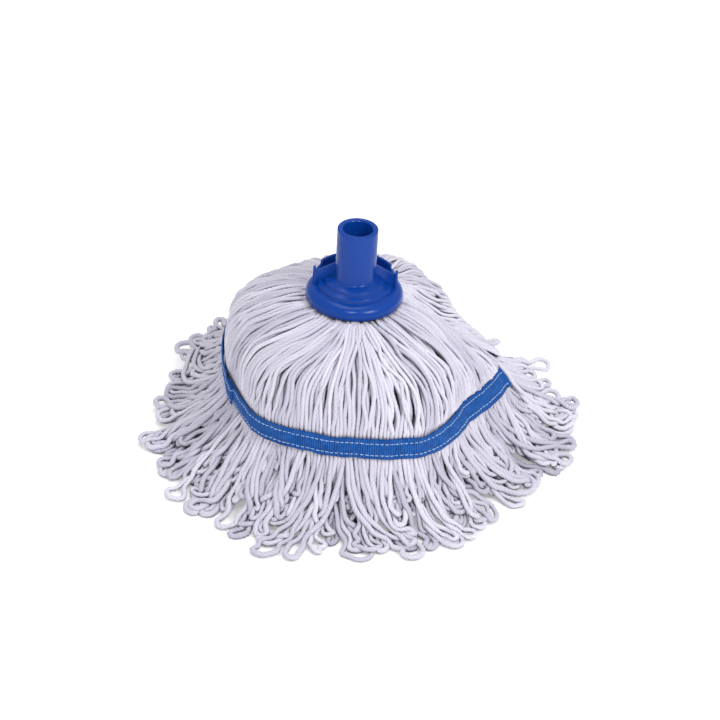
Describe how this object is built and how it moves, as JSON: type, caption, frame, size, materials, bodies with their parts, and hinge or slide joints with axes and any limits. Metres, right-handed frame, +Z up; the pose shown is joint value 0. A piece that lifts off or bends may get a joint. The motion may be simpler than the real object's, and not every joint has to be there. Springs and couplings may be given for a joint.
{
  "type": "string mop head",
  "caption": "Round cotton string-mop head: a stepped plastic handle socket over a skirt of looped yarn, with a sewn tape ring and a free looped fringe spread on the floor.",
  "frame": {"origin": "on the floor under the handle socket's axis, the centre of the box's bottom", "axes": "+Z up along the handle's axis; -Y is the front, where the socket's steps are open; +Y is the side of the upstanding wall"},
  "size_m": [0.3434, 0.3234, 0.1875],
  "materials": {
    "socket_plastic": "moulded blue polypropylene, satin gloss",
    "plug_plastic": "moulded blue polypropylene",
    "cotton_yarn": "soft twisted cotton yarn, bleached, faintly lilac",
    "tape_fabric": "woven blue polyester tape",
    "stitch_thread": "white sewing thread"
  },
  "bodies": {
    "root": {"socket_body": "socket_plastic", "clamp_plug": "plug_plastic", "yarn_root": "cotton_yarn", "yarn_core": "cotton_yarn", "tape_outer": "tape_fabric", "tape_inner": "tape_fabric", "stitch_row_upper": "stitch_thread", "stitch_row_lower": "stitch_thread", "skirt_tuft_01": "cotton_yarn", "skirt_tuft_02": "cotton_yarn", "skirt_tuft_03": "cotton_yarn", "skirt_tuft_04": "cotton_yarn", "skirt_tuft_05": "cotton_yarn", "skirt_tuft_06": "cotton_yarn", "skirt_tuft_07": "cotton_yarn", "skirt_tuft_08": "cotton_yarn", "skirt_tuft_09": "cotton_yarn", "skirt_tuft_10": "cotton_yarn", "skirt_tuft_11": "cotton_yarn", "skirt_tuft_12": "cotton_yarn", "skirt_tuft_13": "cotton_yarn", "skirt_tuft_14": "cotton_yarn", "skirt_tuft_15": "cotton_yarn", "skirt_tuft_16": "cotton_yarn"},
    "fringe_01": {"fringe_tuft_01": "cotton_yarn"},
    "fringe_02": {"fringe_tuft_02": "cotton_yarn"},
    "fringe_03": {"fringe_tuft_03": "cotton_yarn"},
    "fringe_04": {"fringe_tuft_04": "cotton_yarn"},
    "fringe_05": {"fringe_tuft_05": "cotton_yarn"},
    "fringe_06": {"fringe_tuft_06": "cotton_yarn"},
    "fringe_07": {"fringe_tuft_07": "cotton_yarn"},
    "fringe_08": {"fringe_tuft_08": "cotton_yarn"},
    "fringe_09": {"fringe_tuft_09": "cotton_yarn"},
    "fringe_10": {"fringe_tuft_10": "cotton_yarn"},
    "fringe_11": {"fringe_tuft_11": "cotton_yarn"},
    "fringe_12": {"fringe_tuft_12": "cotton_yarn"},
    "fringe_13": {"fringe_tuft_13": "cotton_yarn"},
    "fringe_14": {"fringe_tuft_14": "cotton_yarn"},
    "fringe_15": {"fringe_tuft_15": "cotton_yarn"},
    "fringe_16": {"fringe_tuft_16": "cotton_yarn"}
  },
  "joints": [
    {"name": "fringe_lift_01", "type": "hinge", "parent": "root", "child": "fringe_01", "pos_m": [0.10803, 0.02149, 0.05325], "axis": [0.1951, -0.9808, 0], "range_deg": [0, 50]},
    {"name": "fringe_lift_02", "type": "hinge", "parent": "root", "child": "fringe_02", "pos_m": [0.09059, 0.06053, 0.05325], "axis": [0.5556, -0.8315, 0], "range_deg": [0, 50]},
    {"name": "fringe_lift_03", "type": "hinge", "parent": "root", "child": "fringe_03", "pos_m": [0.0593, 0.08876, 0.05325], "axis": [0.8315, -0.5556, 0], "range_deg": [0, 50]},
    {"name": "fringe_lift_04", "type": "hinge", "parent": "root", "child": "fringe_04", "pos_m": [0.02026, 0.10186, 0.05325], "axis": [0.9808, -0.1951, 0], "range_deg": [0, 50]},
    {"name": "fringe_lift_05", "type": "hinge", "parent": "root", "child": "fringe_05", "pos_m": [-0.01965, 0.0988, 0.05325], "axis": [0.9808, 0.1951, 0], "range_deg": [0, 50]},
    {"name": "fringe_lift_06", "type": "hinge", "parent": "root", "child": "fringe_06", "pos_m": [-0.05437, 0.08136, 0.05325], "axis": [0.8315, 0.5556, 0], "range_deg": [0, 50]},
    {"name": "fringe_lift_07", "type": "hinge", "parent": "root", "child": "fringe_07", "pos_m": [-0.07953, 0.05314, 0.05325], "axis": [0.5556, 0.8315, 0], "range_deg": [0, 50]},
    {"name": "fringe_lift_08", "type": "hinge", "parent": "root", "child": "fringe_08", "pos_m": [-0.09264, 0.01843, 0.05325], "axis": [0.1951, 0.9808, 0], "range_deg": [0, 50]},
    {"name": "fringe_lift_09", "type": "hinge", "parent": "root", "child": "fringe_09", "pos_m": [-0.09264, -0.01843, 0.05325], "axis": [-0.1951, 0.9808, 0], "range_deg": [0, 50]},
    {"name": "fringe_lift_10", "type": "hinge", "parent": "root", "child": "fringe_10", "pos_m": [-0.07953, -0.05314, 0.05325], "axis": [-0.5556, 0.8315, 0], "range_deg": [0, 50]},
    {"name": "fringe_lift_11", "type": "hinge", "parent": "root", "child": "fringe_11", "pos_m": [-0.05437, -0.08136, 0.05325], "axis": [-0.8315, 0.5556, 0], "range_deg": [0, 50]},
    {"name": "fringe_lift_12", "type": "hinge", "parent": "root", "child": "fringe_12", "pos_m": [-0.01965, -0.0988, 0.05325], "axis": [-0.9808, 0.1951, 0], "range_deg": [0, 50]},
    {"name": "fringe_lift_13", "type": "hinge", "parent": "root", "child": "fringe_13", "pos_m": [0.02026, -0.10186, 0.05325], "axis": [-0.9808, -0.1951, 0], "range_deg": [0, 50]},
    {"name": "fringe_lift_14", "type": "hinge", "parent": "root", "child": "fringe_14", "pos_m": [0.0593, -0.08876, 0.05325], "axis": [-0.8315, -0.5556, 0], "range_deg": [0, 50]},
    {"name": "fringe_lift_15", "type": "hinge", "parent": "root", "child": "fringe_15", "pos_m": [0.09059, -0.06053, 0.05325], "axis": [-0.5556, -0.8315, 0], "range_deg": [0, 50]},
    {"name": "fringe_lift_16", "type": "hinge", "parent": "root", "child": "fringe_16", "pos_m": [0.10803, -0.02149, 0.05325], "axis": [-0.1951, -0.9808, 0], "range_deg": [0, 50]}
  ]
}
